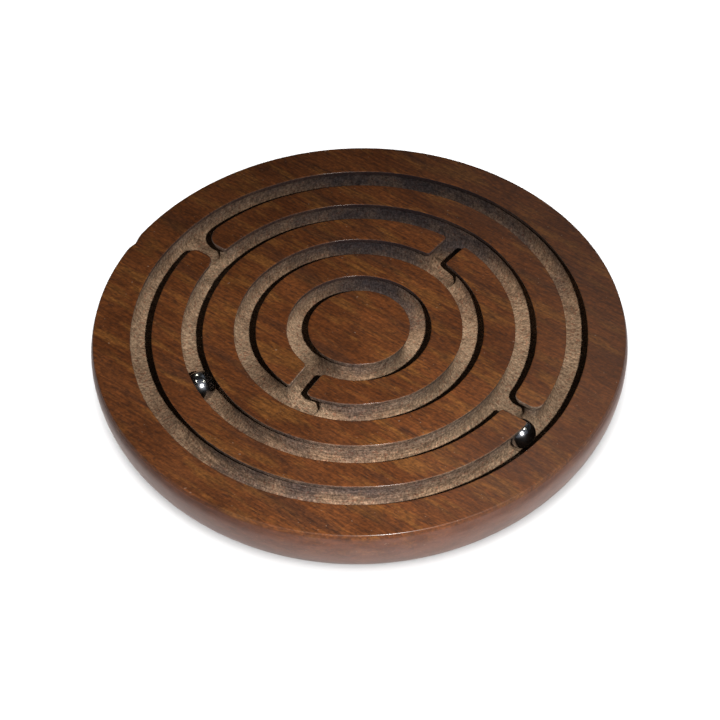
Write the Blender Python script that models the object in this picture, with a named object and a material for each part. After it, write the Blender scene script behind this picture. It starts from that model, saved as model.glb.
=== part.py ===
"""Round hand-held ball maze: a thick turned hardwood disc with four concentric undercut
ball tracks joined by four gates, and two captive steel balls.

Metres, +Z up. The origin is the centre of the flat underside. +Y is the back of the board.
Angles run counterclockwise from +X, seen from above.
"""

import math

import bmesh
import bpy
from mathutils import Matrix, Vector

MM = 0.001

# Board: a disc with a bulging, rounded rim and a crisp top edge.
THICKNESS = 14.0 * MM
TOP_RADIUS = 57.1 * MM
EDGE_BREAK = 0.3 * MM
RIM_BULGE_OUT = 0.7 * MM
RIM_BULGE_DEPTH = 1.2 * MM
RIM_RADIUS = 57.95 * MM
RIM_WIDEST_Z = 11.0 * MM
RIM_ROUND_RADIAL = 6.5 * MM
RIM_ROUND_STEPS = 7
BOARD_STEPS = 72

# Balls: quarter-inch steel, hidden below the lips of the tracks.
BALL_RADIUS = 3.175 * MM
BALL_DEPTH = 4.95 * MM
BALL_SEGMENTS = 28
BALL_RINGS = 16

# Tracks: a narrow mouth between two lips, over a wider channel in which a ball runs.
TRACK_RADII = (13.3 * MM, 24.7 * MM, 36.1 * MM, 47.1 * MM)
MOUTH_HALF = 2.3 * MM
CHANNEL_HALF = 4.0 * MM
FLOOR_HALF = 2.2 * MM
LIP_DEPTH = 1.25 * MM
SHOULDER_DEPTH = 3.0 * MM
BELLY_DEPTH = 6.6 * MM
FLOOR_DEPTH = 8.4 * MM

# Gates: short tunnels that let a ball through a land, from one track to the next.
GATE_CHANNEL_HALF = 4.1 * MM
GATE_CEILING_HALF = 2.2 * MM
GATE_DEEPER = 0.15 * MM
GATE_MOUTH_DEPTH = 2.7 * MM
ARC_STEPS = 8
ABOVE_TOP = 1.0 * MM

# Each gate: inner track, angle of its mouth, angle of its channel, mouth half-width, then
# the corner radii of its mouth in the order inner clockwise, inner counterclockwise,
# outer clockwise, outer counterclockwise.
GATES = {
    "gate_first": (0, 232.7, 232.7, 2.1 * MM, (0.3 * MM, 0.3 * MM, 0.3 * MM, 0.7 * MM)),
    "gate_second": (1, 48.9, 48.9, 2.3 * MM, (0.3 * MM, 0.3 * MM, 0.3 * MM, 0.3 * MM)),
    "gate_funnel": (2, 142.6, 142.6, 1.7 * MM, (0.4 * MM, 2.6 * MM, 4.2 * MM, 1.6 * MM)),
    "gate_last": (2, 323.2, 321.7, 1.9 * MM, (0.4 * MM, 1.8 * MM, 0.4 * MM, 1.0 * MM)),
}

RING_BALL_ANGLE = 198.9
GATE_BALL_ANGLE = 320.85
GATE_BALL_RADIUS = 43.1 * MM


def clear_scene():
    for obj in list(bpy.data.objects):
        bpy.data.objects.remove(obj, do_unlink=True)


def material(name, colour, roughness, metallic):
    made = bpy.data.materials.new(name)
    made.use_nodes = True
    shader = made.node_tree.nodes["Principled BSDF"]
    shader.inputs["Base Color"].default_value = (*colour, 1.0)
    shader.inputs["Roughness"].default_value = roughness
    shader.inputs["Metallic"].default_value = metallic
    made.diffuse_color = (*colour, 1.0)
    return made


def hardwood():
    return material("lacquered_hardwood", (0.165, 0.062, 0.027), 0.35, 0.0)


def steel():
    return material("polished_steel", (0.56, 0.56, 0.57), 0.12, 1.0)


def link(name, mesh):
    obj = bpy.data.objects.new(name, mesh)
    bpy.context.scene.collection.objects.link(obj)
    return obj


def as_cutter(obj):
    obj.hide_render = True
    obj.display_type = "WIRE"
    return obj


def profile_object(name, points):
    """An open wire in the XZ plane, ready for a Screw modifier."""
    bm = bmesh.new()
    verts = [bm.verts.new((x, 0.0, z)) for x, z in points]
    for first, second in zip(verts, verts[1:]):
        bm.edges.new((first, second))
    mesh = bpy.data.meshes.new(name)
    bm.to_mesh(mesh)
    bm.free()
    return link(name, mesh)


def add_screw(obj, steps):
    screw = obj.modifiers.new("turn", "SCREW")
    screw.axis = "Z"
    screw.angle = math.radians(360.0)
    screw.steps = steps
    screw.render_steps = steps
    screw.use_merge_vertices = True
    screw.merge_threshold = 0.00002
    screw.use_smooth_shade = False


def add_cut(obj, cutter):
    cut = obj.modifiers.new(cutter.name, "BOOLEAN")
    cut.operation = "DIFFERENCE"
    cut.solver = "EXACT"
    cut.object = cutter


def track_section(radius):
    """The keyhole section of one track, from its inner lip down and round to its outer lip."""
    half = [
        (MOUTH_HALF, 0.0),
        (MOUTH_HALF, LIP_DEPTH),
        (CHANNEL_HALF, SHOULDER_DEPTH),
        (CHANNEL_HALF, BELLY_DEPTH),
        (FLOOR_HALF, FLOOR_DEPTH),
    ]
    inner = [(radius - x, THICKNESS - depth) for x, depth in half]
    outer = [(radius + x, THICKNESS - depth) for x, depth in reversed(half)]
    return inner + outer


def rim_section():
    """The rim, from the crisp top edge round to the flat underside."""
    points = [
        (TOP_RADIUS, THICKNESS),
        (TOP_RADIUS + EDGE_BREAK, THICKNESS - EDGE_BREAK),
        (TOP_RADIUS + RIM_BULGE_OUT, THICKNESS - RIM_BULGE_DEPTH),
    ]
    centre = RIM_RADIUS - RIM_ROUND_RADIAL
    for step in range(RIM_ROUND_STEPS + 1):
        turn = math.radians(90.0 * step / RIM_ROUND_STEPS)
        x = centre + RIM_ROUND_RADIAL * math.cos(turn)
        points.append((x, RIM_WIDEST_Z * (1.0 - math.sin(turn))))
    return points


def board_profile():
    """Half of the section of the turned board, from the axis at the top to the axis below."""
    points = [(0.0, THICKNESS)]
    for radius in TRACK_RADII:
        points += track_section(radius)
    points += rim_section()
    points.append((0.0, 0.0))
    return points


def prism(name, outline, low, high):
    """An upright prism over a counterclockwise outline in the XY plane."""
    bm = bmesh.new()
    face = bm.faces.new([bm.verts.new((x, y, low)) for x, y in outline])
    bm.normal_update()
    grown = bmesh.ops.extrude_face_region(bm, geom=[face])
    moved = [item for item in grown["geom"] if isinstance(item, bmesh.types.BMVert)]
    bmesh.ops.translate(bm, verts=moved, vec=Vector((0.0, 0.0, high - low)))
    bmesh.ops.recalc_face_normals(bm, faces=bm.faces)
    mesh = bpy.data.meshes.new(name)
    bm.to_mesh(mesh)
    bm.free()
    return as_cutter(link(name, mesh))


def corner_arc(half, radius, lip, outer):
    """Points of one rounded mouth corner, from the straight side of the gate to the lip.

    The gate runs along +X. The side is at +Y. The arc touches the side and the lip circle.
    """
    sign = -1.0 if outer else 1.0
    across = half + radius
    along = math.sqrt((lip + sign * radius) ** 2 - across**2)
    to_lip = math.atan2(across, along)
    turn_end = to_lip if outer else to_lip + math.pi
    turn_start = -0.5 * math.pi
    if not outer:
        turn_end -= 2.0 * math.pi
    points = []
    for step in range(ARC_STEPS + 1):
        turn = turn_start + (turn_end - turn_start) * step / ARC_STEPS
        x = along + radius * math.cos(turn)
        points.append((x, across + radius * math.sin(turn)))
    return points


def gate_outline(inner_radius, outer_radius, half, corners):
    """Counterclockwise outline of a gate's mouth, with the gate along +X."""
    inner_lip = inner_radius + MOUTH_HALF
    outer_lip = outer_radius - MOUTH_HALF
    inner_cw, inner_ccw, outer_cw, outer_ccw = corners
    low_in = [(x, -y) for x, y in corner_arc(half, inner_cw, inner_lip, False)]
    low_out = [(x, -y) for x, y in corner_arc(half, outer_cw, outer_lip, True)]
    high_in = corner_arc(half, inner_ccw, inner_lip, False)
    high_out = corner_arc(half, outer_ccw, outer_lip, True)
    start = [(inner_radius, -half)]
    end = [(outer_radius, low_out[-1][1]), (outer_radius, high_out[-1][1])]
    finish = [(inner_radius, high_in[-1][1])]
    lower = start + low_in[::-1] + low_out
    upper = high_out[::-1] + high_in
    return lower + end + upper + finish


def gate_mouth(name, inner_radius, outer_radius, angle, half, corners):
    outline = gate_outline(inner_radius, outer_radius, half, corners)
    low = THICKNESS - GATE_MOUTH_DEPTH
    cutter = prism(name + "_mouth", outline, low, THICKNESS + ABOVE_TOP)
    cutter.data.transform(Matrix.Rotation(math.radians(angle), 4, "Z"))
    return cutter


def gate_channel(name, inner_radius, outer_radius, angle):
    """The tunnel under the land: the track's section, run straight from track to track."""
    half = [
        (GATE_CEILING_HALF, LIP_DEPTH + GATE_DEEPER),
        (GATE_CHANNEL_HALF, SHOULDER_DEPTH + GATE_DEEPER),
        (GATE_CHANNEL_HALF, BELLY_DEPTH + GATE_DEEPER),
        (FLOOR_HALF, FLOOR_DEPTH + GATE_DEEPER),
    ]
    outline = [(-y, -depth) for y, depth in reversed(half)]
    outline += [(y, -depth) for y, depth in half]
    outline.reverse()
    cutter = prism(name + "_channel", outline, inner_radius, outer_radius)
    stand = Matrix(((0, 0, 1, 0), (1, 0, 0, 0), (0, 1, 0, THICKNESS), (0, 0, 0, 1)))
    turn = Matrix.Rotation(math.radians(angle), 4, "Z")
    cutter.data.transform(turn @ stand)
    return cutter


def gate_cutters(name):
    track, mouth_angle, channel_angle, half, corners = GATES[name]
    inner = TRACK_RADII[track]
    outer = TRACK_RADII[track + 1]
    channel = gate_channel(name, inner, outer, channel_angle)
    mouth = gate_mouth(name, inner, outer, mouth_angle, half, corners)
    return [channel, mouth]


def shade_round(obj, degrees):
    """Smooth shading that keeps the crisp edges."""
    obj.data.shade_smooth()
    obj.data.set_sharp_from_angle(angle=math.radians(degrees))


def bake(obj):
    """Replaces the modifiers of an object with the mesh that they make."""
    graph = bpy.context.evaluated_depsgraph_get()
    mesh = bpy.data.meshes.new_from_object(obj.evaluated_get(graph))
    obj.modifiers.clear()
    obj.data = mesh


def maze_board():
    board = profile_object("maze_board", board_profile())
    add_screw(board, BOARD_STEPS)
    for name in GATES:
        for cutter in gate_cutters(name):
            add_cut(board, cutter)
    bpy.context.view_layer.update()
    bake(board)
    shade_round(board, 30.0)
    board.data.materials.clear()
    board.data.materials.append(hardwood())
    return board


def steel_ball(name, radius, angle, finish):
    mesh = bpy.data.meshes.new(name)
    bm = bmesh.new()
    bmesh.ops.create_uvsphere(
        bm, u_segments=BALL_SEGMENTS, v_segments=BALL_RINGS, radius=BALL_RADIUS
    )
    bm.to_mesh(mesh)
    bm.free()
    mesh.shade_smooth()
    mesh.materials.append(finish)
    ball = link(name, mesh)
    turn = math.radians(angle)
    height = THICKNESS - BALL_DEPTH
    ball.location = (radius * math.cos(turn), radius * math.sin(turn), height)
    return ball


def balls():
    finish = steel()
    steel_ball("ring_ball", TRACK_RADII[2], RING_BALL_ANGLE, finish)
    steel_ball("gate_ball", GATE_BALL_RADIUS, GATE_BALL_ANGLE, finish)


def build():
    clear_scene()
    maze_board()
    balls()


build()
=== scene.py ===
import math
from collections import namedtuple
from types import SimpleNamespace

import bmesh
import bpy
import numpy as np
from mathutils import Matrix, Vector, noise


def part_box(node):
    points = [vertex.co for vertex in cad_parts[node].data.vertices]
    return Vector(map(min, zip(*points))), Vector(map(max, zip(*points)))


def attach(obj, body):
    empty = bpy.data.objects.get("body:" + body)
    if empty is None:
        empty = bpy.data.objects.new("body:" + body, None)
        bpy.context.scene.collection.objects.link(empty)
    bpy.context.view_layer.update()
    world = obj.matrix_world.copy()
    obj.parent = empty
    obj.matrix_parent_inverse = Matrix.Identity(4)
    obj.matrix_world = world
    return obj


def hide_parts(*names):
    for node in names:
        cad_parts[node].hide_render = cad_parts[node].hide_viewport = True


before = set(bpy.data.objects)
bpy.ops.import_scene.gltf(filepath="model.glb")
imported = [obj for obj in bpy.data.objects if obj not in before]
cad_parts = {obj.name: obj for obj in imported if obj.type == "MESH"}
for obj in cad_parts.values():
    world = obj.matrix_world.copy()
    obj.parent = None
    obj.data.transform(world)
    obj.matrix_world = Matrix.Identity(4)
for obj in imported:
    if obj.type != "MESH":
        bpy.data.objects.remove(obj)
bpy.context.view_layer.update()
MM = 0.001

# Values taken from the frame.
BOARD_LOW, BOARD_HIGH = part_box("maze_board")
TOP_Z = BOARD_HIGH.z
RIM_RADIUS = BOARD_HIGH.x

# The tracks. Depths are measured down from the top face. Below the lips, each side of a channel
# is a quarter of a superellipse above its widest line and another quarter under it.
TRACK_RADII = (13.3 * MM, 24.7 * MM, 36.1 * MM, 47.1 * MM)
MOUTH_HALF = 2.3 * MM
LIP_ROUND = 0.15 * MM
LIP_SLANT = 0.35 * MM
CHANNEL_HALF = 4.0 * MM
CHANNEL_MID_DEPTH = 4.95 * MM
CHANNEL_UP = 3.75 * MM
CHANNEL_UP_SQUARENESS = 4.5
CHANNEL_DOWN = 3.45 * MM
CHANNEL_DOWN_SQUARENESS = 2.6

# The rim: a crisp top edge, a short shoulder given as (out, down), and a round side.
TOP_RADIUS = RIM_RADIUS - 0.55 * MM
TOP_EDGE_ROUND = 0.3 * MM
SHOULDER = ((0.18 * MM, 0.9 * MM), (0.38 * MM, 1.6 * MM), (0.49 * MM, 2.3 * MM))
RIM_WIDEST_Z = 11.0 * MM
RIM_ROUND_RADIAL = 6.5 * MM

# Extra points on the flat faces, which keep their shading even: distances out from a lip and in
# from the rim's edge, and radii on the top and the underside.
LIP_MARGINS = (1.2 * MM, 0.25 * MM)
RIM_MARGINS = (1.7 * MM, 0.7 * MM)
TOP_RINGS = (4.0 * MM, 8.0 * MM)
BASE_RINGS = (40.0 * MM, 20.0 * MM)

# The steps of a full turn, and the angle from which an edge is shaded as one.
TURN_STEPS = 360
SHARP_ANGLE = math.radians(38.0)

# Gates. The mouth of a gate stands at an angle, turned by its skew about the middle of the land
# that it crosses. Corner radii are in the order inner clockwise, inner counterclockwise, outer
# clockwise, outer counterclockwise.
Gate = namedtuple("Gate", "track angle skew channel_angle half corners")
GATES = (
    Gate(0, 232.7, 3.5, 232.7, 2.1 * MM, (0.5 * MM, 1.1 * MM, 0.5 * MM, 0.8 * MM)),
    Gate(1, 48.9, 0.0, 48.9, 2.3 * MM, (0.6 * MM, 0.5 * MM, 0.6 * MM, 0.8 * MM)),
    Gate(2, 142.6, 0.0, 142.6, 1.7 * MM, (0.5 * MM, 2.6 * MM, 3.8 * MM, 1.8 * MM)),
    Gate(2, 323.2, 0.0, 321.7, 1.9 * MM, (0.5 * MM, 2.0 * MM, 0.6 * MM, 1.9 * MM)),
)
GATE_LIP_ROUND = 0.32 * MM
GATE_CHANNEL_HALF = 4.1 * MM
GATE_EXTRA_DEPTH = 0.1 * MM

# Under the lips, where a gate is wider, a blunt corner gets sharper, down to this radius.
NOSE_RADIUS = 1.3 * MM

# Points closer than this are welded after the gates are cut.
WELD = 0.003 * MM

# All the cut wood is inside this radius and above this height, and it is bare under this depth.
CARVED_RADIUS = 51.6 * MM
CARVED_LOW_Z = 4.0 * MM
BARE_FROM_DEPTH = 0.06 * MM

# Unevenness of the cuts, as (waves per metre, height). Ripples are on what lies under the lips.
# The seed fixes where the drift and the chips fall, so that every run cuts the same board.
NOISE_SEED = 1
DRIFT = (70.0, 0.16 * MM)
CHIPS = (900.0, 0.05 * MM)
RIPPLES = (450.0, 0.10 * MM)
RIPPLES_FROM_DEPTH = 1.0 * MM

# Unevenness of the hand-turned rim, which fades in from a radius over a width.
LOBES = 4
LOBE_HEIGHT = 0.14 * MM
RIM_SHIFT = 0.12 * MM
UNEVEN_FROM = 50.0 * MM
UNEVEN_WIDTH = 6.0 * MM

# A nick in the rim's top edge. Its spans are the degrees on its clockwise and other side.
NICK_ANGLE = 151.0
NICK_SPANS = (2.6, 2.0)
NICK_DEPTH = 0.55 * MM
NICK_HEIGHT = 3.2 * MM
NICK_RADIUS = 55.5 * MM

GRAIN_ANGLE = -40.0

# The side towards which the board's top is paler, as one over a radius.
PALE_ANGLE = math.radians(48.0)
PALE_SIDE = (math.cos(PALE_ANGLE) / RIM_RADIUS, math.sin(PALE_ANGLE) / RIM_RADIUS, 0.0)

# One of the three paler sides of the board's figure.
FIGURE_ANGLE = math.radians(50.0)

# A patch of dark streaks in the top face.
STREAK_PLACE = (34.0 * MM, -42.0 * MM, TOP_Z)
STREAK_REACH = 24.0 * MM

# A patch where the cut wood is paler, next to the gate at the lower right.
PALE_PATCH_PLACE = (22.0 * MM, -20.0 * MM, TOP_Z - 6.0 * MM)
PALE_PATCH_REACH = 17.0 * MM

# Lightness of the cut wood round a track: waves per turn, angle of a peak, height.
TORN_WAVES = ((1, 56.0, 0.16), (2, 63.0, 0.20), (3, 25.0, 0.29), (4, 0.0, 0.13))

# The camera looks along +Y and down at the middle of the top face.
CAMERA_UNIT = RIM_RADIUS - 0.80 * MM
CAMERA_ELEVATION = math.radians(46.49)
CAMERA_DISTANCE = 8.628 * CAMERA_UNIT
CAMERA_PLACE = Vector((
    0.0,
    -CAMERA_DISTANCE * math.cos(CAMERA_ELEVATION),
    TOP_Z + CAMERA_DISTANCE * math.sin(CAMERA_ELEVATION),
))
CAMERA_ROLL = math.radians(-1.317)

# The lens and the sensor in millimetres, and the shift of the lens as a share of the sensor.
LENS = 114.05
SENSOR = 36.0
LENS_SHIFT = (0.0015, -0.0463)


# ---------------------------------------------------------------- mesh helpers


def link(name, data):
    """A new object in the scene."""
    obj = bpy.data.objects.new(name, data)
    bpy.context.scene.collection.objects.link(obj)
    return obj


def mesh_from(bm, name):
    """The finished mesh of a bmesh, which is freed."""
    mesh = bpy.data.meshes.new(name)
    bm.to_mesh(mesh)
    bm.free()
    return mesh


def arc(centre_r, centre_z, radius, start, end, steps):
    """Points of an arc in the section plane. Angles in degrees, 0 is outward and 90 is up."""
    points = []
    for step in range(steps + 1):
        turn = math.radians(start + (end - start) * step / steps)
        r = centre_r + radius * math.cos(turn)
        points.append((r, centre_z + radius * math.sin(turn)))
    return points


def channel_curve(half_width, extra_depth, steps):
    """(offset, depth) down one side of a channel, from the lip to the middle of the floor."""
    share = (MOUTH_HALF + LIP_SLANT) / half_width
    start = math.acos(share ** (0.5 * CHANNEL_UP_SQUARENESS))
    points = []
    for step in range(steps + 1):
        turn = -start + (0.5 * math.pi + start) * step / steps
        if turn > 0.0:
            power = 2.0 / CHANNEL_DOWN_SQUARENESS
            reach = CHANNEL_DOWN + extra_depth
        else:
            power = 2.0 / CHANNEL_UP_SQUARENESS
            reach = -CHANNEL_UP
        offset = half_width * math.cos(turn) ** power if turn < 0.5 * math.pi else 0.0
        points.append((offset, CHANNEL_MID_DEPTH + reach * abs(math.sin(turn)) ** power))
    return points


def track_section(radius):
    """The fine section of one track, from the land inside it to the land outside it."""
    far, near = LIP_MARGINS
    half = [(MOUTH_HALF + far, 0.0), (MOUTH_HALF + LIP_ROUND + near, 0.0)]
    for degrees in (0.0, 30.0, 60.0, 90.0):
        turn = math.radians(degrees)
        across = MOUTH_HALF + LIP_ROUND * (1.0 - math.sin(turn))
        half.append((across, LIP_ROUND * (1.0 - math.cos(turn))))
    curve = channel_curve(CHANNEL_HALF, extra_depth=0.0, steps=18)
    half.append((MOUTH_HALF + 0.5 * LIP_SLANT, 0.5 * curve[0][1]))
    half += curve[:-1]
    inner = [(radius - x, TOP_Z - depth) for x, depth in half]
    floor = [(radius, TOP_Z - curve[-1][1])]
    outer = [(radius + x, TOP_Z - depth) for x, depth in reversed(half)]
    return inner + floor + outer


def rim_section():
    """The rim, from just inside its crisp top edge round to the flat underside."""
    points = [(TOP_RADIUS - margin, TOP_Z) for margin in RIM_MARGINS]
    edge = TOP_EDGE_ROUND
    points += arc(TOP_RADIUS - edge, TOP_Z - edge, edge, start=90.0, end=15.0, steps=5)
    points += [(TOP_RADIUS + out, TOP_Z - down) for out, down in SHOULDER]
    centre = RIM_RADIUS - RIM_ROUND_RADIAL
    steps = 22
    for step in range(steps + 1):
        turn = math.radians(90.0 * step / steps)
        r = centre + RIM_ROUND_RADIAL * math.cos(turn)
        points.append((r, RIM_WIDEST_Z * (1.0 - math.sin(turn))))
    return points


def board_section():
    """Half of the board's section: the first and the last point are on the axis."""
    points = [(0.0, TOP_Z)] + [(radius, TOP_Z) for radius in TOP_RINGS]
    for radius in TRACK_RADII:
        points += track_section(radius)
    points += rim_section()
    return points + [(radius, 0.0) for radius in BASE_RINGS] + [(0.0, 0.0)]


def turned_mesh(name, section, steps):
    """A closed mesh made by turning a section about Z. Its ends are on the axis."""
    turns = np.arange(steps) * 2.0 * math.pi / steps
    ring = np.stack([np.cos(turns), np.sin(turns), np.zeros(steps)], axis=1)
    verts = [(0.0, 0.0, section[0][1])]
    for r, z in section[1:-1]:
        verts += [tuple(v) for v in ring * r + np.array((0.0, 0.0, z))]
    verts.append((0.0, 0.0, section[-1][1]))
    faces = []
    last = len(verts) - 1
    rows = len(section) - 2
    for i in range(steps):
        j = (i + 1) % steps
        faces.append((0, 1 + i, 1 + j))
        for row in range(rows - 1):
            a = 1 + row * steps
            b = a + steps
            faces.append((a + i, b + i, b + j, a + j))
        a = 1 + (rows - 1) * steps
        faces.append((a + i, last, a + j))
    mesh = bpy.data.meshes.new(name)
    mesh.from_pydata(verts, [], faces)
    return mesh


def skinned(name, rings, angle):
    """A closed solid through rings of equal length, turned about Z."""
    bm = bmesh.new()
    turn = Matrix.Rotation(math.radians(angle), 4, "Z")
    rows = []
    for ring in rings:
        rows.append([bm.verts.new(turn @ Vector(point)) for point in ring])
    count = len(rows[0])
    for near, far in zip(rows, rows[1:]):
        for i in range(count):
            j = (i + 1) % count
            bm.faces.new((near[i], near[j], far[j], far[i]))
    bm.faces.new(rows[0][::-1])
    bm.faces.new(rows[-1])
    return mesh_from(bm, name)


# ---------------------------------------------------------------- the gates' cutters


def corner_arc(half, radius, lip, outer, steps=10):
    """One rounded mouth corner, from the straight side of the gate to the lip circle.

    The gate runs along +X, and this side of it is at +Y.
    """
    sign = -1.0 if outer else 1.0
    across = half + radius
    along = math.sqrt((lip + sign * radius) ** 2 - across**2)
    to_lip = math.atan2(across, along)
    end = to_lip if outer else to_lip - math.pi
    start = -0.5 * math.pi
    points = []
    for step in range(steps + 1):
        turn = start + (end - start) * step / steps
        x = along + radius * math.cos(turn)
        points.append((x, across + radius * math.sin(turn)))
    return points


def gate_outline(inner_radius, outer_radius, half, corners, spread):
    """Counterclockwise outline of a gate along +X, with every side moved out by the spread."""
    inner_lip = inner_radius + MOUTH_HALF + spread
    outer_lip = outer_radius - MOUTH_HALF - spread
    half += spread
    corners = [max(corner - spread, min(corner, NOSE_RADIUS)) for corner in corners]
    inner_cw, inner_ccw, outer_cw, outer_ccw = corners
    low_in = [(x, -y) for x, y in corner_arc(half, inner_cw, inner_lip, False)]
    low_out = [(x, -y) for x, y in corner_arc(half, outer_cw, outer_lip, True)]
    high_in = corner_arc(half, inner_ccw, inner_lip, False)
    high_out = corner_arc(half, outer_ccw, outer_lip, True)
    start = [(inner_radius, low_in[-1][1])]
    end = [(outer_radius, low_out[-1][1]), (outer_radius, high_out[-1][1])]
    finish = [(inner_radius, high_in[-1][1])]
    return start + low_in[::-1] + low_out + end + high_out[::-1] + high_in + finish


def grown(outline, amount):
    """The outline moved outward by an amount along the normal of each corner."""
    count = len(outline)
    out = []
    for i, (x, y) in enumerate(outline):
        before = Vector((x, y)) - Vector(outline[i - 1])
        after = Vector(outline[(i + 1) % count]) - Vector((x, y))
        way = before.normalized() + after.normalized()
        normal = Vector((way.y, -way.x)).normalized()
        out.append((x + normal.x * amount, y + normal.y * amount))
    return out


def skewed(outline, middle, skew):
    """The outline turned by a small angle about the middle of the land that it crosses."""
    turn = Matrix.Rotation(math.radians(skew), 2)
    centre = Vector((middle, 0.0))
    return [tuple(turn @ (Vector(point) - centre) + centre) for point in outline]


def gate_mouth(name, inner_radius, outer_radius, gate):
    """The opening of a gate: undercut like the tracks, with a rounded lip at the top."""

    def outline_at(spread):
        outline = gate_outline(inner_radius, outer_radius, gate.half, gate.corners, spread)
        return skewed(outline, 0.5 * (inner_radius + outer_radius), gate.skew)

    # The levels go up from just above the floor, where the curve's last two points are left out,
    # past the lip, to a little above the top face.
    levels = []
    for offset, depth in channel_curve(CHANNEL_HALF, extra_depth=0.0, steps=20)[-3::-1]:
        spread = max(offset - MOUTH_HALF, -0.5 * gate.half)
        levels.append((outline_at(spread), TOP_Z - depth))
    lip = outline_at(0.0)
    levels.append((lip, TOP_Z - GATE_LIP_ROUND))
    for degrees in (30.0, 60.0, 90.0):
        turn = math.radians(degrees)
        around = grown(lip, GATE_LIP_ROUND * (1.0 - math.cos(turn)))
        levels.append((around, TOP_Z - GATE_LIP_ROUND * (1.0 - math.sin(turn))))
    levels.append((grown(lip, GATE_LIP_ROUND * 1.3), TOP_Z + 0.3 * MM))
    rings = [[(x, y, z) for x, y in outline] for outline, z in levels]
    return skinned(name, rings, gate.angle)


def gate_channel(name, inner_radius, outer_radius, gate):
    """The tunnel of a gate under the land, run straight from track to track."""
    side = channel_curve(GATE_CHANNEL_HALF, GATE_EXTRA_DEPTH, steps=16)
    section = [(-x, -depth) for x, depth in side[:-1]]
    section.append((0.0, -side[-1][1]))
    section += [(x, -depth) for x, depth in reversed(side[:-1])]
    rings = []
    for r in np.linspace(inner_radius, outer_radius, num=5):
        rings.append([(r, y, TOP_Z + z) for y, z in section])
    return skinned(name, rings, gate.channel_angle)


def cut_gates(board):
    """Cuts all the gates from the board in one exact Boolean."""
    cutters = []
    for index, gate in enumerate(GATES):
        radii = TRACK_RADII[gate.track:gate.track + 2]
        for mesh in (
            gate_channel("channel_%d" % index, *radii, gate),
            gate_mouth("mouth_%d" % index, *radii, gate),
        ):
            cutters.append(link(mesh.name, mesh))
    for cutter in cutters:
        cut = board.modifiers.new(cutter.name, "BOOLEAN")
        cut.operation = "DIFFERENCE"
        cut.solver = "EXACT"
        cut.object = cutter
    graph = bpy.context.evaluated_depsgraph_get()
    mesh = bpy.data.meshes.new_from_object(board.evaluated_get(graph))
    bm = bmesh.new()
    bm.from_mesh(mesh)
    bmesh.ops.remove_doubles(bm, verts=bm.verts, dist=WELD)
    bmesh.ops.dissolve_degenerate(bm, edges=bm.edges, dist=WELD)
    bm.to_mesh(mesh)
    bm.free()
    board.modifiers.clear()
    board.data = mesh
    for cutter in cutters:
        bpy.data.objects.remove(cutter)


# ---------------------------------------------------------------- the board


def is_carved(co):
    """True for a point in the tracks and gates, or on the lands between them."""
    return math.hypot(co.x, co.y) < CARVED_RADIUS and co.z > CARVED_LOW_Z


def rim_push(co, radius):
    """How far a point of the rim is moved out by its unevenness and the nick."""
    turn = math.atan2(co.y, co.x)
    share = min(max((radius - UNEVEN_FROM) / UNEVEN_WIDTH, 0.0), 1.0)
    push = (LOBE_HEIGHT * math.cos(LOBES * turn) + RIM_SHIFT * math.sin(turn)) * share
    if radius > NICK_RADIUS:
        past = math.degrees(turn) - NICK_ANGLE
        span = NICK_SPANS[0] if past < 0.0 else NICK_SPANS[1]
        along = max(0.0, 1.0 - abs(past) / span)
        down = max(0.0, 1.0 - (TOP_Z - co.z) / NICK_HEIGHT)
        push -= NICK_DEPTH * along * down
    return push


def hand_work(mesh):
    """Small unevenness of hand-guided cuts and of a hand-sanded rim, and a nick in the rim."""
    noise.seed_set(NOISE_SEED)
    for vert in mesh.vertices:
        co = vert.co
        radius = math.hypot(co.x, co.y)
        if is_carved(co):
            drift = noise.noise_vector(co * DRIFT[0]) * DRIFT[1]
            chip = noise.noise_vector(co * CHIPS[0]) * CHIPS[1]
            co.x += drift.x + chip.x
            co.y += drift.y + chip.y
            if co.z < TOP_Z - RIPPLES_FROM_DEPTH:
                co.z += noise.noise(co * RIPPLES[0]) * RIPPLES[1]
        elif radius > 0.0:
            push = rim_push(co, radius)
            co.x += co.x * push / radius
            co.y += co.y * push / radius


def make_board(lacquered, bare):
    """The carved board: lacquered outside, and bare on the walls and floors of the tracks."""
    name = "maze_board_carved"
    board = link(name, turned_mesh(name, board_section(), TURN_STEPS))
    cut_gates(board)
    mesh = board.data
    mesh.name = name
    hand_work(mesh)
    mesh.materials.clear()
    mesh.materials.append(lacquered)
    mesh.materials.append(bare)
    for face in mesh.polygons:
        cut = is_carved(face.center) and face.center.z < TOP_Z - BARE_FROM_DEPTH
        face.material_index = 1 if cut else 0
    mesh.shade_smooth()
    mesh.set_sharp_from_angle(angle=SHARP_ANGLE)
    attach(board, "board")
    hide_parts("maze_board")
    return board


# ---------------------------------------------------------------- the balls


def make_ball(node, name, body, finish):
    """A smooth ball in the place of a faceted CAD ball."""
    low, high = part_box(node)
    centre = (low + high) * 0.5
    radius = 0.5 * (high.z - low.z)
    bm = bmesh.new()
    bmesh.ops.create_icosphere(bm, subdivisions=5, radius=radius)
    bmesh.ops.translate(bm, verts=bm.verts, vec=centre)
    mesh = mesh_from(bm, name)
    mesh.shade_smooth()
    mesh.materials.append(finish)
    ball = link(name, mesh)
    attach(ball, body)
    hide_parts(node)
    return ball


# ---------------------------------------------------------------- node helpers


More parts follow.
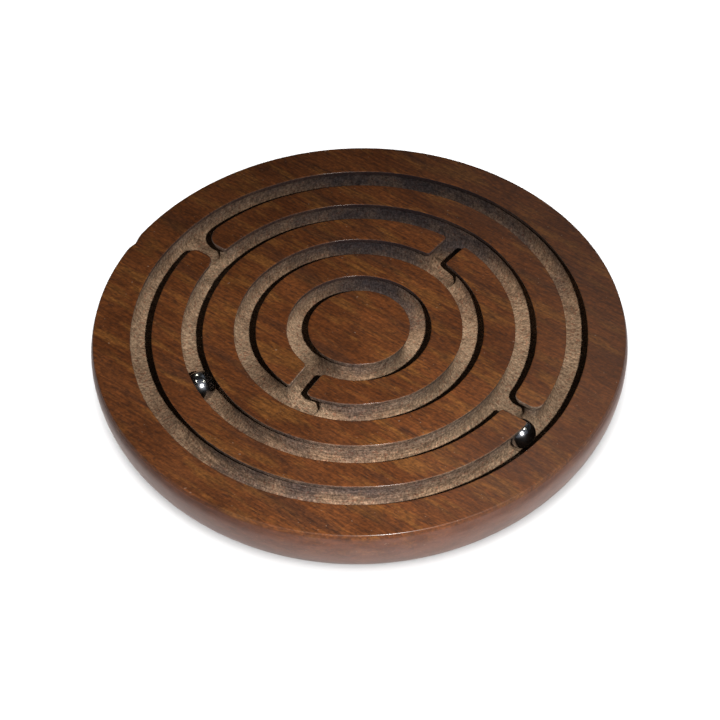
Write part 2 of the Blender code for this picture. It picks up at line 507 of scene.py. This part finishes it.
class Graph:
    """Short calls for building one material's node tree."""

    def __init__(self, name):
        self.material = bpy.data.materials.new(name)
        self.material.use_nodes = True
        self.tree = self.material.node_tree
        self.shader = self.tree.nodes["Principled BSDF"]
        self.position = self.node("ShaderNodeTexCoord").outputs["Object"]

    def node(self, kind, **settings):
        """A new node with its settings."""
        made = self.tree.nodes.new(kind)
        for key, value in settings.items():
            setattr(made, key, value)
        return made

    def put(self, socket, value):
        """Links a socket into another, or sets its plain value."""
        if isinstance(value, bpy.types.NodeSocket):
            self.tree.links.new(value, socket)
        else:
            socket.default_value = value

    def surface(self, name, value):
        """Feeds one input of the shader."""
        self.put(self.shader.inputs[name], value)

    def fed(self, kind, *values, **settings):
        """A new node with the values in its first inputs."""
        made = self.node(kind, **settings)
        for socket, value in zip(made.inputs, values):
            self.put(socket, value)
        return made

    def math(self, operation, *values):
        """A number worked out from numbers."""
        return self.fed("ShaderNodeMath", *values, operation=operation).outputs[0]

    def product(self, first, *others):
        """All the numbers multiplied together."""
        for other in others:
            first = self.math("MULTIPLY", first, other)
        return first

    def vector(self, operation, *values):
        """A vector worked out from other vectors."""
        return self.fed("ShaderNodeVectorMath", *values, operation=operation).outputs["Vector"]

    def measure(self, operation, *values):
        """A number worked out from vectors, such as a length or a distance."""
        return self.fed("ShaderNodeVectorMath", *values, operation=operation).outputs["Value"]

    def combined(self, *values):
        """A vector made of numbers."""
        return self.fed("ShaderNodeCombineXYZ", *values).outputs[0]

    def ramp(self, value, low, high, to_low=0.0, to_high=1.0):
        """A smooth step from one value to another as the input goes from low to high."""
        made = self.node("ShaderNodeMapRange", interpolation_type="SMOOTHSTEP")
        for key, item in zip(
            ("Value", "From Min", "From Max", "To Min", "To Max"),
            (value, low, high, to_low, to_high),
        ):
            self.put(made.inputs[key], item)
        return made.outputs[0]

    def mapped(self, scale, turn=0.0, offset=(0.0, 0.0, 0.0)):
        """Object coordinates turned about Z and scaled."""
        spin = self.node("ShaderNodeMapping", vector_type="TEXTURE")
        self.put(spin.inputs["Vector"], self.position)
        spin.inputs["Rotation"].default_value = (0.0, 0.0, math.radians(turn))
        size = self.node("ShaderNodeMapping")
        self.put(size.inputs["Vector"], spin.outputs[0])
        size.inputs["Scale"].default_value = scale
        size.inputs["Location"].default_value = offset
        return size.outputs[0]

    def noise(self, vector, detail=3.0, rough=0.55, warp=0.0):
        """Noise whose scale comes from the vector."""
        made = self.node("ShaderNodeTexNoise")
        self.put(made.inputs["Vector"], vector)
        for key, value in (
            ("Scale", 1.0),
            ("Detail", detail),
            ("Roughness", rough),
            ("Distortion", warp),
        ):
            made.inputs[key].default_value = value
        return made.outputs["Fac"]

    def mix(self, share, first, second, blend="MIX"):
        """A blend of two colours."""
        made = self.node("ShaderNodeMix", data_type="RGBA", blend_type=blend)
        for index, value in ((0, share), (6, first), (7, second)):
            self.put(made.inputs[index], value)
        return made.outputs[2]

    def scaled(self, colour, tone):
        """The colour times a number."""
        made = self.node("ShaderNodeVectorMath", operation="SCALE")
        self.put(made.inputs[0], colour)
        self.put(made.inputs["Scale"], tone)
        return made.outputs[0]

    def bump(self, height, distance, strength):
        """A normal tilted by a height."""
        made = self.node("ShaderNodeBump")
        self.put(made.inputs["Height"], height)
        made.inputs["Distance"].default_value = distance
        made.inputs["Strength"].default_value = strength
        return made.outputs[0]

    def nearness(self, place, far, near=0.0):
        """1 within the near distance of a place, falling to 0 at the far distance."""
        return self.ramp(self.measure("DISTANCE", self.position, place), far, near)

    def polar(self):
        """The direction from the axis, angle round it, radius and height of the shaded point."""
        split = self.node("ShaderNodeSeparateXYZ")
        self.put(split.inputs[0], self.position)
        x, y, z = split.outputs
        flat = self.combined(x, y)
        return SimpleNamespace(
            way=self.vector("NORMALIZE", flat),
            angle=self.math("ARCTAN2", y, x),
            radius=self.measure("LENGTH", flat),
            height=z,
        )


# ---------------------------------------------------------------- lacquered wood


def streaked_colour(g, cloud):
    """The wood's base colour: soft clouds, gold and dark bands, and one patch of streaks."""
    deep = (0.150, 0.042, 0.0080, 1.0)
    middle = (0.215, 0.064, 0.0135, 1.0)
    golden = (0.285, 0.108, 0.022, 1.0)
    dark = (0.095, 0.032, 0.012, 1.0)
    band = g.noise(g.mapped((26.0, 250.0, 300.0), GRAIN_ANGLE), warp=0.5)
    gold = g.noise(g.mapped((75.0, 330.0, 400.0), GRAIN_ANGLE, (1.7, 5.2, 0.0)))
    streak = g.noise(g.mapped((70.0, 520.0, 500.0), GRAIN_ANGLE - 12.0), detail=2.0, warp=0.4)
    colour = g.mix(g.ramp(cloud, 0.34, 0.66), deep, middle)
    colour = g.mix(g.product(g.ramp(gold, 0.48, 0.66), 0.74), colour, golden)
    colour = g.mix(g.product(g.ramp(band, 0.54, 0.70), 0.68), colour, dark)
    patch = g.product(g.ramp(streak, 0.46, 0.60), g.nearness(STREAK_PLACE, STREAK_REACH))
    return g.mix(g.product(patch, 0.75), colour, dark)


def paler_sides_tone(g, polar):
    """Paler towards one side of the board, and a little paler on three sides."""
    across = g.measure("DOT_PRODUCT", g.position, PALE_SIDE)
    thrice = g.math("COSINE", g.math("MULTIPLY_ADD", polar.angle, 3.0, -3.0 * FIGURE_ANGLE))
    figured = g.math("MULTIPLY_ADD", thrice, 0.10, 0.06)
    return g.math("EXPONENT", g.math("MULTIPLY_ADD", across, 0.30, figured))


def with_painted_sheen(g, colour, polar, side):
    """The colour under a painted sheen out on the right, and under a painted reflection on the
    rim's side that is lighter on the right, where the light falls.
    """
    rightness = g.math("COSINE", polar.angle)
    far_out = g.product(g.ramp(polar.radius, 0.40 * RIM_RADIUS, RIM_RADIUS), 0.36)
    # Painted sheen of the coat: greyish, out towards the right.
    right_sheen = g.product(g.ramp(rightness, 0.0, 0.7), far_out)
    colour = g.mix(right_sheen, colour, (0.150, 0.088, 0.064, 1.0))
    # Painted reflection on the rim's side: pinkish grey, lighter on the right, where the light
    # falls, in soft patches.
    rim_reflection = g.mix(
        g.ramp(rightness, -0.6, 0.1), (0.125, 0.054, 0.040, 1.0), (0.215, 0.110, 0.086, 1.0)
    )
    reflection_patches = g.noise(g.mapped((260.0, 90.0, 420.0), GRAIN_ANGLE, (4.0, 2.0, 0.0)))
    rim_reflection = g.scaled(rim_reflection, g.ramp(reflection_patches, 0.32, 0.68, 0.72, 1.34))
    return g.mix(g.product(side, 0.55), colour, rim_reflection)


def lacquered_wood():
    """Reddish brown hardwood with diagonal grain, fine flecks and pores, and a satin coat."""
    g = Graph("lacquered_hardwood")
    cloud = g.noise(g.mapped((48.0, 95.0, 80.0), GRAIN_ANGLE, (3.1, 0.4, 0.0)))
    fibre = g.noise(g.mapped((480.0, 1700.0, 1500.0), GRAIN_ANGLE), detail=4.0, rough=0.65)
    fleck = g.noise(g.mapped((1300.0, 2200.0, 2200.0), GRAIN_ANGLE + 50.0), detail=2.0, rough=0.6)
    lines = g.noise(g.mapped((75.0, 2100.0, 1900.0), GRAIN_ANGLE + 3.0), rough=0.6)
    pore_seed = g.noise(g.mapped((600.0, 3000.0, 2600.0), GRAIN_ANGLE), detail=1.0)
    dust_seed = g.noise(g.mapped((1150.0, 1500.0, 1500.0), 10.0), detail=1.0)
    pores = g.ramp(pore_seed, 0.60, 0.70)
    dust = g.ramp(dust_seed, 0.735, 0.80)
    polar = g.polar()
    side = g.ramp(polar.height, TOP_Z - 0.4 * MM, TOP_Z - 1.6 * MM)

    tone = g.product(
        g.ramp(fibre, 0.30, 0.70, 0.66, 1.34),
        g.ramp(fleck, 0.30, 0.70, 0.80, 1.20),
        g.ramp(lines, 0.32, 0.68, 0.78, 1.20),
    )
    colour = g.scaled(streaked_colour(g, cloud), tone)
    colour = g.mix(g.product(pores, 0.50), colour, (0.040, 0.015, 0.008, 1.0))
    colour = g.mix(g.product(dust, 0.50), colour, (0.60, 0.42, 0.30, 1.0))
    colour = g.scaled(colour, paler_sides_tone(g, polar))
    # Last come the painted sheen on the right and the painted reflection on the rim's side.
    g.surface("Base Color", with_painted_sheen(g, colour, polar, side))

    height = g.math("MULTIPLY_ADD", fibre, 0.5, g.product(fleck, 0.5))
    height = g.math("MULTIPLY_ADD", pores, -0.8, height)
    g.surface("Normal", g.bump(height, 0.05 * MM, 0.6))
    g.surface("Roughness", g.ramp(cloud, 0.3, 0.7, 0.56, 0.66))
    g.surface("Specular IOR Level", 0.5)
    g.surface("Coat Weight", g.ramp(side, 0.0, 1.0, 0.8, 1.0))
    g.surface("Coat Roughness", g.ramp(side, 0.0, 1.0, 0.22, 0.32))
    g.surface("Coat IOR", 1.5)
    waves = g.noise(g.mapped((190.0, 190.0, 190.0)))
    g.surface("Coat Normal", g.bump(waves, 0.08 * MM, 0.4))
    return g.material


# ---------------------------------------------------------------- bare wood


def facing(g, polar, degrees):
    """1 where the direction from the axis is the given one, and -1 on the opposite side."""
    turn = math.radians(degrees)
    return g.measure("DOT_PRODUCT", polar.way, (math.cos(turn), math.sin(turn), 0.0))


def torn_tone(g, polar):
    """How light the cut wood is round a track, as the cutter meets the grain at every angle."""
    level = 0.12
    for count, peak, height in TORN_WAVES:
        turned = g.math("MULTIPLY_ADD", polar.angle, float(count), -count * math.radians(peak))
        level = g.math("MULTIPLY_ADD", g.math("COSINE", turned), height, level)
    return g.math("EXPONENT", level)


def near_gates(g):
    """1 beside a gate, where the crossing cuts leave lighter wood, and 0 away from it."""
    found = 0.0
    for gate in GATES:
        radius = 0.5 * (TRACK_RADII[gate.track] + TRACK_RADII[gate.track + 1])
        turn = math.radians(gate.angle)
        place = (radius * math.cos(turn), radius * math.sin(turn), TOP_Z - 6.0 * MM)
        found = g.math("MAXIMUM", found, g.nearness(place, 9.5 * MM, 4.5 * MM))
    return found


def tear(g, polar):
    """How torn, and so how light, the cut wood is: more across the grain and beside gates."""
    across = g.math("POWER", facing(g, polar, 160.0), 2.0)
    level = g.math("MULTIPLY_ADD", across, 1.2, 0.8)
    level = g.math("MULTIPLY_ADD", facing(g, polar, 100.0), -0.3, level)
    blotch = g.noise(g.mapped((110.0, 190.0, 150.0), GRAIN_ANGLE), detail=4.0, rough=0.6)
    level = g.math("ADD", level, g.ramp(blotch, 0.3, 0.7, -0.32, 0.32))
    level = g.math("MULTIPLY_ADD", near_gates(g), 0.72, level)
    pale = g.nearness(PALE_PATCH_PLACE, PALE_PATCH_REACH, 0.35 * PALE_PATCH_REACH)
    level = g.math("MULTIPLY_ADD", pale, 0.32, level)
    outermost = g.ramp(polar.radius, TRACK_RADII[3] - 5.0 * MM, TRACK_RADII[3] - 4.0 * MM)
    worn = g.product(outermost, g.ramp(facing(g, polar, 310.0), 0.1, 0.8))
    return g.math("MULTIPLY_ADD", worn, -0.26, level)


def torn_colour(g, torn):
    """From burnt grey brown, through brown, to pale torn fibres."""
    shades = g.node("ShaderNodeValToRGB")
    g.put(shades.inputs[0], g.product(torn, 0.45))
    stops = (
        (0.18, (0.072, 0.054, 0.050, 1.0)),
        (0.40, (0.160, 0.105, 0.074, 1.0)),
        (0.60, (0.255, 0.160, 0.099, 1.0)),
        (0.92, (0.430, 0.292, 0.187, 1.0)),
    )
    ramp = shades.color_ramp.elements
    ramp[0].position, ramp[0].color = stops[0]
    ramp[1].position, ramp[1].color = stops[-1]
    for position, shade in stops[1:-1]:
        ramp.new(position).color = shade
    return shades.outputs[0]


def walls_shaded(g, colour, polar):
    """The colour made greyer up the walls, with a dark, reddish painted shade under the lips at
    the back.
    """
    # Painted shade, dark and reddish, just under the lips at the back.
    wall = g.ramp(polar.height, TOP_Z - 1.9 * MM, TOP_Z - 0.9 * MM)
    back = g.ramp(facing(g, polar, 95.0), -0.2, 0.7, 0.05, 0.6)
    colour = g.mix(g.product(wall, back), colour, (0.080, 0.040, 0.038, 1.0))
    grey = g.mix(1.0, colour, (0.76, 0.83, 1.02, 1.0), "MULTIPLY")
    upper = g.ramp(polar.height, TOP_Z - 6.6 * MM, TOP_Z - 3.2 * MM)
    return g.mix(g.product(upper, 0.62), colour, grey)


def bare_wood():
    """The rough, unfinished wood inside the tracks, with cutter marks and raised fibres."""
    g = Graph("bare_hardwood")
    polar = g.polar()
    place = g.combined(
        g.product(polar.radius, 800.0),
        g.product(polar.radius, 300.0),
        g.product(polar.height, 900.0),
    )
    spokes = g.vector("MULTIPLY_ADD", polar.way, (85.0, 85.0, 85.0), place)
    marks = g.noise(spokes, detail=4.0, rough=0.65)
    rings = g.combined(
        g.product(polar.radius, 2600.0),
        g.product(polar.angle, 9.0),
        g.product(polar.height, 2600.0),
    )
    scratches = g.noise(rings, rough=0.6)
    fibre = g.noise(g.mapped((600.0, 2200.0, 1500.0), GRAIN_ANGLE), rough=0.65)
    fuzz = g.noise(g.mapped((2300.0, 2300.0, 2300.0)), rough=0.7)
    stain = g.noise(g.mapped((1500.0, 1900.0, 1900.0), 20.0, (0.6, 2.4, 0.0)), detail=2.0)

    scored = g.ramp(facing(g, polar, 262.0), 0.2, 0.9)
    tone = g.product(
        g.ramp(marks, 0.28, 0.72, 0.66, 1.32),
        g.ramp(fibre, 0.30, 0.70, 0.74, 1.24),
        g.ramp(fuzz, 0.30, 0.70, 0.62, 1.38),
        g.math("MULTIPLY_ADD", scored, g.ramp(scratches, 0.32, 0.68, -0.34, 0.34), 1.0),
        torn_tone(g, polar),
    )
    colour = g.scaled(torn_colour(g, tear(g, polar)), tone)
    red = g.mix(1.0, colour, (0.90, 0.70, 0.66, 1.0), "MULTIPLY")
    colour = g.mix(g.ramp(stain, 0.54, 0.66), colour, red)
    colour = walls_shaded(g, colour, polar)
    # Bounced light sees darker wood, which keeps the undercuts as dark as deep cuts are.
    path = g.node("ShaderNodeLightPath")
    bounced = g.math("MULTIPLY_ADD", path.outputs["Is Diffuse Ray"], -0.75, 1.0)
    g.surface("Base Color", g.scaled(colour, bounced))
    relief = g.math("MULTIPLY_ADD", marks, 0.8, g.product(fibre, 0.5))
    relief = g.math("MULTIPLY_ADD", fuzz, 0.6, relief)
    g.surface("Normal", g.bump(relief, 0.18 * MM, 0.8))
    g.surface("Roughness", 0.85)
    g.surface("Specular IOR Level", 0.2)
    return g.material


# ---------------------------------------------------------------- steel and paper


def polished_steel():
    """Dark, bright ball steel with faint smears and fine scratches."""
    g = Graph("polished_steel")
    smear = g.noise(g.mapped((420.0, 420.0, 420.0)))
    scratch = g.noise(g.mapped((600.0, 9000.0, 2400.0), 25.0), detail=2.0)
    colour = g.mix(g.ramp(smear, 0.35, 0.7), (0.46, 0.48, 0.52, 1.0), (0.58, 0.59, 0.62, 1.0))
    g.surface("Base Color", colour)
    g.surface("Metallic", 1.0)
    g.surface("Roughness", g.ramp(smear, 0.3, 0.75, 0.17, 0.23))
    g.surface("Normal", g.bump(scratch, 0.002 * MM, 0.4))
    return g.material


def floor_paper():
    """Pale paper that looks white but throws little light back at the board."""
    g = Graph("pale_floor")
    tone = g.noise(g.mapped((9.0, 9.0, 9.0)), detail=2.0)
    colour = g.mix(tone, (0.90, 0.90, 0.90, 1.0), (0.93, 0.93, 0.93, 1.0))
    near, far = RIM_RADIUS + 2.0 * MM, RIM_RADIUS + 15.0 * MM
    mirrored = g.scaled((1.0, 0.86, 0.82), g.ramp(g.polar().radius, near, far, 0.58, 0.14))
    path = g.node("ShaderNodeLightPath")
    colour = g.mix(path.outputs["Is Diffuse Ray"], colour, (0.08, 0.08, 0.08, 1.0))
    colour = g.mix(path.outputs["Is Glossy Ray"], colour, mirrored)
    g.surface("Base Color", colour)
    g.surface("Roughness", 0.9)
    g.surface("Specular IOR Level", 0.1)
    return g.material


# ---------------------------------------------------------------- stage, light, camera


def make_floor():
    """A sheet of paper, just clear of the board's underside."""
    bm = bmesh.new()
    bmesh.ops.create_grid(bm, x_segments=2, y_segments=2, size=3.0)
    mesh = mesh_from(bm, "floor")
    mesh.materials.append(floor_paper())
    floor = link("floor", mesh)
    floor.location.z = BOARD_LOW.z - 0.1 * MM
    return floor


def aim(obj, target):
    """Turns a lamp or a camera to look at a target."""
    way = Vector(target) - obj.location
    obj.rotation_euler = way.to_track_quat("-Z", "Y").to_euler()


def make_light(name, kind, place, target, power, colour, **settings):
    """A lamp aimed at a target."""
    data = bpy.data.lights.new(name, kind)
    data.energy = power
    data.color = colour
    for key, value in settings.items():
        setattr(data, key, value)
    light = link(name, data)
    light.location = place
    aim(light, target)
    return light


def light_group(name, objects):
    """A collection for light linking: the objects that a light falls on."""
    group = bpy.data.collections.new(name)
    for obj in objects:
        group.objects.link(obj)
    return group


def make_key(receivers):
    """A lamp beside the camera. It is aimed in front of the board, so it fades to the back."""
    key = make_light(
        "key",
        "SPOT",
        place=CAMERA_PLACE + Vector((1.1 * RIM_RADIUS, 0.0, 0.0)),
        target=(-0.04 * RIM_RADIUS, -3.05 * RIM_RADIUS, TOP_Z),
        power=13.9,
        colour=(1.0, 0.97, 0.93),
        spot_size=math.radians(56.5),
        spot_blend=1.0,
        shadow_soft_size=6.0 * MM,
    )
    key.light_linking.receiver_collection = receivers


def make_floor_wash(receivers):
    """Two wide lamps that bring the floor up to white."""
    for place, power in (((0.0, 0.0, 1.6), 22.0), ((0.0, -1.0, 1.1), 32.0)):
        wash = make_light(
            "floor_wash",
            "AREA",
            place=place,
            target=(0.0, 0.0, 0.0),
            power=power,
            colour=(1.0, 1.0, 1.0),
            shape="DISK",
            size=1.3,
        )
        wash.light_linking.receiver_collection = receivers


def make_sheen():
    """A weak card behind the board that shows only as a sheen on the lacquer and the steel."""
    sheen = make_light(
        "sheen_card",
        "AREA",
        place=(0.30, 0.50, 0.58),
        target=(0.0, 0.0, TOP_Z),
        power=0.09,
        colour=(0.85, 0.92, 1.0),
        shape="RECTANGLE",
        size=0.55,
        size_y=0.4,
    )
    sheen.visible_diffuse = False


def make_ball_lamps(receivers):
    """The room's lamps and a dim wide fill, which only the balls mirror."""
    for way in ((0.40, -0.08, 0.91), (-0.52, -0.02, 0.85), (-0.35, 0.79, 0.50)):
        lamp = make_light(
            "room_lamp",
            "AREA",
            place=Vector(way).normalized() * 1.2,
            target=(0.0, 0.0, TOP_Z),
            power=0.8,
            colour=(1.0, 0.93, 0.72),
            shape="DISK",
            size=0.13,
        )
        lamp.light_linking.receiver_collection = receivers
    fill = make_light(
        "ball_fill",
        "AREA",
        place=1.1 * CAMERA_PLACE,
        target=(0.0, 0.0, TOP_Z),
        power=0.50,
        colour=(0.78, 0.84, 1.0),
        shape="DISK",
        size=1.3,
    )
    fill.light_linking.receiver_collection = receivers


def make_world():
    """Pale to the camera, weak as fill, and in reflections darker overhead than low down."""
    seen, as_fill = 0.92, 0.04
    low_mirrored, high_mirrored, high_from = 0.10, 0.02, 0.45
    world = bpy.data.worlds.new("studio")
    bpy.context.scene.world = world
    world.use_nodes = True
    nodes, links = world.node_tree.nodes, world.node_tree.links
    nodes.clear()
    path = nodes.new("ShaderNodeLightPath")
    split = nodes.new("ShaderNodeSeparateXYZ")
    links.new(nodes.new("ShaderNodeTexCoord").outputs["Generated"], split.inputs[0])
    fade = nodes.new("ShaderNodeMapRange")
    links.new(split.outputs[2], fade.inputs["Value"])
    fade.inputs["From Max"].default_value = high_from
    fade.inputs["To Min"].default_value = low_mirrored
    fade.inputs["To Max"].default_value = high_mirrored
    off_camera = nodes.new("ShaderNodeMix")
    links.new(path.outputs["Is Glossy Ray"], off_camera.inputs[0])
    off_camera.inputs[2].default_value = as_fill
    links.new(fade.outputs[0], off_camera.inputs[3])
    strength = nodes.new("ShaderNodeMix")
    links.new(path.outputs["Is Camera Ray"], strength.inputs[0])
    links.new(off_camera.outputs[0], strength.inputs[2])
    strength.inputs[3].default_value = seen
    back = nodes.new("ShaderNodeBackground")
    links.new(strength.outputs[0], back.inputs["Strength"])
    links.new(back.outputs[0], nodes.new("ShaderNodeOutputWorld").inputs[0])


def make_camera():
    """The camera, with its lens shifted to frame the board."""
    data = bpy.data.cameras.new("camera")
    camera = link("camera", data)
    camera.location = CAMERA_PLACE
    aim(camera, (0.0, 0.0, TOP_Z))
    camera.matrix_world = camera.matrix_basis @ Matrix.Rotation(CAMERA_ROLL, 4, "Z")
    data.sensor_width = SENSOR
    data.lens = LENS
    data.shift_x, data.shift_y = LENS_SHIFT
    data.clip_start = 10.0 * MM
    bpy.context.scene.camera = camera


board = make_board(lacquered_wood(), bare_wood())
steel = polished_steel()
balls = [
    make_ball("ring_ball", "ring_ball_polished", "ring_ball", steel),
    make_ball("gate_ball", "gate_ball_polished", "gate_ball", steel),
]
floor = make_floor()
make_key(light_group("lit_by_key", [board] + balls))
make_floor_wash(light_group("lit_by_wash", [floor]))
make_sheen()
make_ball_lamps(light_group("lit_by_lamps", balls))
make_world()
make_camera()
bpy.context.scene.view_settings.view_transform = "Standard"
